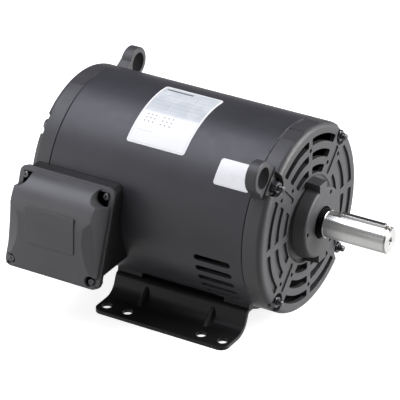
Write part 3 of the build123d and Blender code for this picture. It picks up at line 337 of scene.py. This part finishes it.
def ground_shaft():
    """Ground steel whose shine spreads along x, and a black journal behind the shoulder."""
    material, tree, shader, _ = smooth_metal(
        "ground steel", (0.86, 0.855, 0.84), (0.82, 0.815, 0.80), 0.20, TURNED, 160.0)
    tangent = tree.nodes.new("ShaderNodeTangent")
    tangent.direction_type = "RADIAL"
    tangent.axis = "X"
    tree.links.new(tangent.outputs[0], shader.inputs["Tangent"])
    shader.inputs["Anisotropic"].default_value = 0.85
    shader.inputs["Anisotropic Rotation"].default_value = 0.25
    shader.inputs["Specular IOR Level"].default_value = 0.15

    calc = maths(tree)
    x, _, _ = split_axes(tree, place(tree))
    bare = calc("GREATER_THAN", x, SHAFT_SHOULDER - JOURNAL_MARGIN)
    colour = mix_colour(tree, bare, grey(SHADE_AND_JOURNAL_GREY), feed(shader, "Base Color"))
    duller = calc("MULTIPLY", calc("SUBTRACT", 1.0, bare), 0.5)
    rough = calc("ADD", feed(shader, "Roughness"), duller)
    tree.links.new(colour, shader.inputs["Base Color"])
    tree.links.new(bare, shader.inputs["Metallic"])
    tree.links.new(rough, shader.inputs["Roughness"])
    return material


def shield_painted_shade(tree):
    """Where painted shade goes: 1 inside the lifting eyes, on the windows' walls and deep in the
    end shields, else 0.
    """
    calc = maths(tree)
    x, y, z = split_axes(tree, place(tree))
    from_eye = diagonal(tree, calc("SUBTRACT", calc("ABSOLUTE", y), EYE_OFFSET),
                        calc("SUBTRACT", z, SHAFT_HEIGHT + EYE_OFFSET))
    in_eye = spread(tree, from_eye, 1.0, 0.0, *(EYE_RADIUS + fade for fade in EYE_FADE))

    height = calc("SUBTRACT", z, SHAFT_HEIGHT)
    off_axis = diagonal(tree, y, height)
    depth = from_ends(tree, x, REAR_FACE, DRIVE_FACE)
    deep = calc("MULTIPLY", spread(tree, depth, 0.0, 1.0, *DEEP_FADE),
                calc("LESS_THAN", off_axis, RIM_INSIDE))

    off_arms = calc("SUBTRACT", calc("ABSOLUTE", height), calc("ABSOLUTE", y))
    open_quarter = calc("MULTIPLY", calc("GREATER_THAN", off_arms, ARM_MARGIN),
                        within(tree, off_axis, WINDOWS_FROM, RIM_INSIDE))
    on_wall = calc("MULTIPLY", spread(tree, depth, 0.0, 1.0, *WALL_FADE), open_quarter)
    return largest(tree, in_eye, on_wall, deep)


def cast_shield():
    """The casting's enamel, with painted shade, dark and dull, inside the lifting eyes, on the
    windows' walls and deep in the end shields.
    """
    material = painted("charcoal enamel on casting", grey(0.050, 0.003), grey(0.062, 0.004),
                       grey(0.070, 0.004), 0.44, grain=800.0, relief=0.00006, edge=0.0009)
    tree = material.node_tree
    shader = shader_of(material)
    calc = maths(tree)
    # painted shade: the enamel goes dark and dull where shade falls in the eyes, windows and deep
    # pockets
    painted_shade_share = shield_painted_shade(tree)
    colour = mix_colour(tree, painted_shade_share, feed(shader, "Base Color"), grey(SHADE_AND_JOURNAL_GREY))
    rough = calc("ADD", feed(shader, "Roughness"), calc("MULTIPLY", painted_shade_share, 0.4))
    tree.links.new(colour, shader.inputs["Base Color"])
    tree.links.new(rough, shader.inputs["Roughness"])
    return material


# ================================================================ the plates' materials
def plate_place(tree, node):
    """Millimetres across and up a plate that is rolled round the frame, and its two sizes."""
    calc = maths(tree)
    low, high = (Vector(corner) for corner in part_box(node))
    start = math.atan2(low.z - SHAFT_HEIGHT, low.y)
    finish = math.atan2(high.z - SHAFT_HEIGHT, high.y)
    radius = math.hypot(low.y, low.z - SHAFT_HEIGHT) * MM_PER_METRE
    x, y, z = split_axes(tree, place(tree))
    across = calc("MULTIPLY", calc("SUBTRACT", x, low.x), MM_PER_METRE)
    turn = calc("ARCTAN2", calc("SUBTRACT", z, SHAFT_HEIGHT), y)
    up = calc("MULTIPLY", calc("SUBTRACT", start, turn), radius)
    return across, up, (high.x - low.x) * MM_PER_METRE, (start - finish) * radius


def border(tree, across, up, width, height, inset, thick):
    """A thin line that runs round a plate, inset from its edges, and the field inside it."""
    depth = maths(tree)("MINIMUM", from_ends(tree, across, 0.0, width),
                        from_ends(tree, up, 0.0, height))
    line = within(tree, depth, inset, inset + thick)
    return line, maths(tree)("GREATER_THAN", depth, inset)


def bar(tree, across, up, sides, ends):
    """1 in a rectangle, else 0; sides are its limits across the plate, ends its limits up it."""
    return maths(tree)("MULTIPLY", within(tree, across, *sides), within(tree, up, *ends))


def ruled_form(tree, across, up):
    """Ruled rows, crossed by posts."""
    calc = maths(tree)
    rows = calc("LESS_THAN", off_marks(tree, up, *ROWS), ROW_HALF)
    posts = calc("MULTIPLY", calc("LESS_THAN", off_marks(tree, across, *POSTS), POST_HALF),
                 within(tree, up, *POST_ENDS))
    return calc("MULTIPLY", largest(tree, rows, posts), within(tree, across, *RULED_SIDES))


def dots(tree, across, up, start, pitch):
    """A square block of round marks."""
    aside = off_marks(tree, across, start[0], pitch[0], DOT_COUNT)
    above = off_marks(tree, up, start[1], pitch[1], DOT_COUNT)
    return maths(tree)("LESS_THAN", diagonal(tree, aside, above), DOT_RADIUS)


def foil_plate():
    """Silver foil with a plain ruled form: a cool panel above, bare foil and dots below."""
    material, tree, shader = blank_material("silver foil")
    calc = maths(tree)
    across, up, width, height = plate_place(tree, "nameplate")
    stain = noise(tree, 70.0, detail=5.0, rough=0.6)
    bare = ramp(tree, stain, [(0.3, (0.93, 0.93, 0.92)), (0.7, (0.97, 0.97, 0.955))])
    panel = ramp(tree, stain, [(0.35, (0.60, 0.64, 0.66)), (0.65, (0.73, 0.76, 0.78))])
    line, inside = border(tree, across, up, width, height, *PLATE_BORDER)
    top = calc("MULTIPLY", spread(tree, up, 0.0, 1.0, *PANEL_FADE), inside)
    colour = mix_colour(tree, top, bare, panel)

    faint = largest(tree, ruled_form(tree, across, up), bar(tree, across, up, *FOOT_RULE), line)
    colour = mix_colour(tree, calc("MULTIPLY", faint, 0.45), colour, grey(0.30, 0.01))
    blocks = (dots(tree, across, up, start, pitch) for start, pitch in DOT_BLOCKS)
    strong = largest(tree, bar(tree, across, up, *HEAD_BAR), *blocks)
    colour = mix_colour(tree, calc("MULTIPLY", strong, 0.85), colour, grey(0.06, 0.005))

    tree.links.new(colour, shader.inputs["Base Color"])
    tree.links.new(spread(tree, stain, 0.34, 0.42), shader.inputs["Roughness"])
    bump(tree, shader, noise(tree, 900.0, detail=2.0), PLATE_RELIEF)
    return material


def paper_label():
    """A white printed label with a plain thin border."""
    material, tree, shader = blank_material("white label")
    across, up, width, height = plate_place(tree, "info_label")
    stain = noise(tree, 60.0, detail=4.0)
    white = ramp(tree, stain, [(0.3, (0.97, 0.97, 0.97)), (0.7, (0.98, 0.98, 0.975))])
    line, _ = border(tree, across, up, width, height, *LABEL_BORDER)
    colour = mix_colour(tree, maths(tree)("MULTIPLY", line, 0.3), white, grey(0.35))
    tree.links.new(colour, shader.inputs["Base Color"])
    tree.links.new(spread(tree, stain, 0.26, 0.34), shader.inputs["Roughness"])
    shader.inputs["Specular IOR Level"].default_value = 0.7
    bump(tree, shader, noise(tree, 1100.0, detail=2.0), PLATE_RELIEF)
    return material


# ================================================================ which piece has which material
def make_materials():
    return {
        "frame": painted("charcoal enamel", grey(0.038, 0.006), grey(0.045, 0.008),
                         grey(0.085, 0.008), 0.40),
        "base": painted("black enamel on steel", grey(0.013), grey(0.018, 0.001), grey(0.05),
                        0.36, level=0.25),
        "shield": cast_shield(),
        "box": painted("black enamel on box", grey(0.018), grey(0.024), grey(0.05), 0.42,
                       level=0.4),
        "cover": moulded("charcoal moulding", grey(0.082, 0.004), grey(0.094, 0.005), 0.42,
                         edge=0.001),
        "rubber": moulded("black rubber", grey(0.006), grey(0.012), 0.75, level=0.3),
        "slinger": moulded("black nitrile", grey(0.003), grey(0.005), 0.8, level=0.06),
        "baffle": moulded("black sheet", grey(0.004), grey(0.007), 0.7, level=0.15),
        "shaft": ground_shaft(),
        "key": machined("drawn steel", (0.74, 0.73, 0.71), (0.62, 0.61, 0.60), 0.20, DRAWN, 160.0),
        "bolt": machined("black oxide steel", (0.20, 0.20, 0.21), (0.07, 0.07, 0.075), 0.30,
                         scale=700.0),
        "bearing": machined("bearing steel", (0.55, 0.55, 0.56), (0.45, 0.45, 0.46), 0.16,
                            TURNED, 100.0),
        "sheet": machined("pressed sheet", (0.40, 0.40, 0.40), (0.32, 0.32, 0.32), 0.3),
        "lamination": machined("stacked laminations", (0.05, 0.05, 0.055), (0.02, 0.02, 0.022),
                               0.5, STACKED, 200.0),
        "rotor": machined("cast aluminium", (0.30, 0.30, 0.31), (0.20, 0.20, 0.21), 0.45),
        "winding": moulded("varnished winding", (0.012, 0.005, 0.003), (0.022, 0.009, 0.005),
                           0.5, grain=500.0, level=0.2),
        "brass": machined("green dyed brass", (0.25, 0.42, 0.2), (0.2, 0.34, 0.16), 0.35),
        "plate": foil_plate(),
        "label": paper_label(),
    }


NODE_MATERIALS = {
    "frame": ("frame_shell",),
    "base": ("foot_base", "base_welds"),
    "shield": ("drive_endshield", "rear_endshield"),
    "box": ("terminal_box",),
    "cover": ("terminal_cover",),
    "rubber": ("box_gasket", "cover_gasket", "lead_grommet"),
    "slinger": ("shaft_slinger",),
    "baffle": ("drive_air_baffle", "rear_air_baffle"),
    "shaft": ("shaft",),
    "key": ("shaft_key",),
    "bolt": ("through_bolts", "bolt_nuts", "lock_washers", "box_screws", "cover_screws",
             "preload_spring", "bearing_snap_ring"),
    "bearing": ("drive_bearing_outer_ring", "rear_bearing_outer_ring",
                "drive_bearing_inner_ring", "rear_bearing_inner_ring",
                "drive_bearing_balls", "rear_bearing_balls"),
    "sheet": ("drive_bearing_shields", "rear_bearing_shields",
              "drive_bearing_cage", "rear_bearing_cage"),
    "lamination": ("stator_core", "rotor_core"),
    "rotor": ("rotor_cage",),
    "winding": ("stator_winding",),
    "brass": ("ground_screw",),
    "plate": ("nameplate",),
    "label": ("info_label",),
}


def dress_nodes(materials):
    for key, names in NODE_MATERIALS.items():
        for name in names:
            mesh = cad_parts[name].data
            mesh.materials.clear()
            mesh.materials.append(materials[key])


# ================================================================ stage
FLOOR_HALF = 12.0
FLOOR_TONES = (0.72, 0.76)
FLOOR_GLOW = 0.80               # the evenly lit share of the floor's white
AMBIENT = 0.06                  # the world's light from every side, and what its parts add
SWEEP = 0.70
ROOM = 0.27
TABLE = 0.27
LAMP_CENTRE = Vector((0.0, 0.0, 0.11))
WHITE = (1.0, 1.0, 1.0)


def camera_axes():
    """The camera's right, up and back in the world."""
    azimuth = math.radians(CAMERA_AZIMUTH)
    elevation = math.radians(CAMERA_ELEVATION)
    back = Vector((
        math.sin(azimuth) * math.cos(elevation),
        -math.cos(azimuth) * math.cos(elevation),
        math.sin(elevation),
    ))
    right = (-back).cross(Vector((0, 0, 1))).normalized()
    up = right.cross(-back)
    turn = math.radians(CAMERA_ROLL)
    turned_right = right * math.cos(turn) + up * math.sin(turn)
    turned_up = up * math.cos(turn) - right * math.sin(turn)
    return turned_right, turned_up, back


def add_camera():
    right, up, back = camera_axes()
    data = bpy.data.cameras.new("camera")
    data.sensor_width = SENSOR_WIDTH
    data.lens = FOCAL_LENGTH
    data.clip_end = CLIP_END
    camera = bpy.data.objects.new("camera", data)
    turn = Matrix((right, up, back)).transposed().to_4x4()
    camera.matrix_world = Matrix.Translation(CAMERA_TARGET + back * CAMERA_DISTANCE) @ turn
    bpy.context.scene.collection.objects.link(camera)
    bpy.context.scene.camera = camera


def add_floor():
    """A white sweep that takes the motor's soft shadow; the world holds the studio's light."""
    half = FLOOR_HALF
    corners = [(-half, -half, 0), (half, -half, 0), (half, half, 0), (-half, half, 0)]
    mesh = bpy.data.meshes.new("floor")
    mesh.from_pydata(corners, [], [(0, 1, 2, 3)])
    floor = bpy.data.objects.new("floor", mesh)
    bpy.context.scene.collection.objects.link(floor)
    material, tree, shader = blank_material("pale floor")
    darker, lighter = FLOOR_TONES
    tone = ramp(tree, noise(tree, 0.4, detail=2.0), [(0.3, grey(darker)), (0.7, grey(lighter))])
    tree.links.new(tone, shader.inputs["Base Color"])
    shader.inputs["Roughness"].default_value = 0.9
    shader.inputs["Specular IOR Level"].default_value = 0.1
    shader.inputs["Emission Color"].default_value = (*WHITE, 1.0)
    shader.inputs["Emission Strength"].default_value = FLOOR_GLOW
    mesh.materials.append(material)
    floor.visible_diffuse = False
    floor.visible_glossy = False
    floor.visible_shadow = False


def add_area(name, towards, distance, size, radiance, colour=WHITE):
    """A softbox seen from the motor in one direction, as bright as its radiance."""
    width, height = size
    data = bpy.data.lights.new(name, "AREA")
    data.shape = "RECTANGLE"
    data.size = width
    data.size_y = height
    data.energy = radiance * math.pi * width * height
    data.color = colour
    light = bpy.data.objects.new(name, data)
    direction = Vector(towards).normalized()
    turn = (-direction).to_track_quat("-Z", "Y").to_matrix().to_4x4()
    light.matrix_world = Matrix.Translation(LAMP_CENTRE + direction * distance) @ turn
    bpy.context.scene.collection.objects.link(light)


def light_world():
    """The studio round the motor: a white sweep behind it, a pale table, a dim room in front."""
    world = bpy.data.worlds.new("studio")
    bpy.context.scene.world = world
    world.use_nodes = True
    tree = world.node_tree
    calc = maths(tree)
    direction = tree.nodes.new("ShaderNodeTexCoord").outputs["Generated"]
    across, along, height = split_axes(tree, direction)
    behind = spread(tree, along, 0.0, 1.0, 0.0, 0.6, smooth=True)
    near = spread(tree, along, 1.0, 0.0, -0.3, 0.2, smooth=True)
    left = spread(tree, across, 1.0, 0.15, -0.25, 0.4, smooth=True)
    table = spread(tree, height, 1.0, 0.0, -0.40, 0.05, smooth=True)
    low = spread(tree, height, 1.0, 0.0, -0.30, 0.08, smooth=True)
    under = spread(tree, height, 0.35, 1.0, -0.90, -0.60, smooth=True)
    low = calc("MULTIPLY", low, under)
    total = AMBIENT
    for first, second, strength in ((behind, low, SWEEP), (near, left, ROOM), (table, 1.0, TABLE)):
        product = calc("MULTIPLY", calc("MULTIPLY", first, second), strength)
        total = calc("ADD", product, total)
    shade = tree.nodes["Background"]
    shade.inputs["Color"].default_value = (*WHITE, 1.0)
    tree.links.new(total, shade.inputs["Strength"])


def light_stage():
    light_world()
    add_area("overhead softbox", (-0.45, -0.11, 0.88), 1.7, (1.3, 1.4), 3.7, (0.95, 0.96, 1.08))
    add_area("key softbox", (0.86, 0.42, 0.30), 2.0, (1.6, 1.6), 9.0)
    add_area("left fill", (-0.80, -0.58, 0.10), 1.6, (1.2, 1.2), 2.4)
    bpy.context.scene.view_settings.view_transform = "Standard"


# ================================================================ added forms
def thread_on_stud(mesh, y, z, start, end):
    """A helical ridge round one stud's end, which rises from the stud and sinks into it again."""
    steps = int((end - start) / THREAD_PITCH * THREAD_SEGMENTS)
    fade_steps = THREAD_FADE * THREAD_SEGMENTS
    root = STUD_RADIUS - THREAD_SUNK
    rise = THREAD_HEIGHT + THREAD_SUNK - RUNOUT_HEIGHT
    last = None
    for step in range(steps + 1):
        angle = math.tau * step / THREAD_SEGMENTS
        fade = min(1.0, step / fade_steps, (steps - step) / fade_steps)
        crest = root + RUNOUT_HEIGHT + rise * fade
        x = start + THREAD_PITCH * step / THREAD_SEGMENTS
        ring = []
        for along, radius in ((-THREAD_FLANK, root), (0.0, crest), (THREAD_FLANK, root)):
            ring.append(mesh.verts.new((
                x + along * THREAD_PITCH,
                y + radius * math.cos(angle),
                z + radius * math.sin(angle),
            )))
        if last:
            for first in range(3):
                second = (first + 1) % 3
                mesh.faces.new((last[first], last[second], ring[second], ring[first]))
        else:
            mesh.faces.new(ring)
        last = ring
    mesh.faces.new(tuple(reversed(last)))


def stud_threads(material):
    """The thread that shows past each nut at the drive end."""
    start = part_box("bolt_nuts")[1][0] + FREE_AT_NUT * THREAD_PITCH
    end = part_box("through_bolts")[1][0] - FREE_AT_END * THREAD_PITCH
    mesh = bmesh.new()
    for side in (-1, 1):
        for level in (-1, 1):
            thread_on_stud(mesh, side * STUD_OFFSET, SHAFT_HEIGHT + level * STUD_OFFSET, start, end)
    bmesh.ops.recalc_face_normals(mesh, faces=mesh.faces)
    data = bpy.data.meshes.new("stud_threads")
    mesh.to_mesh(data)
    mesh.free()
    data.materials.append(material)
    threads = bpy.data.objects.new("stud_threads", data)
    bpy.context.scene.collection.objects.link(threads)
    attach(threads, "stator")


# ================================================================ the dressed motor
def main():
    add_camera()
    materials = make_materials()
    dress_nodes(materials)
    stud_threads(materials["bolt"])
    add_floor()
    light_stage()


main()
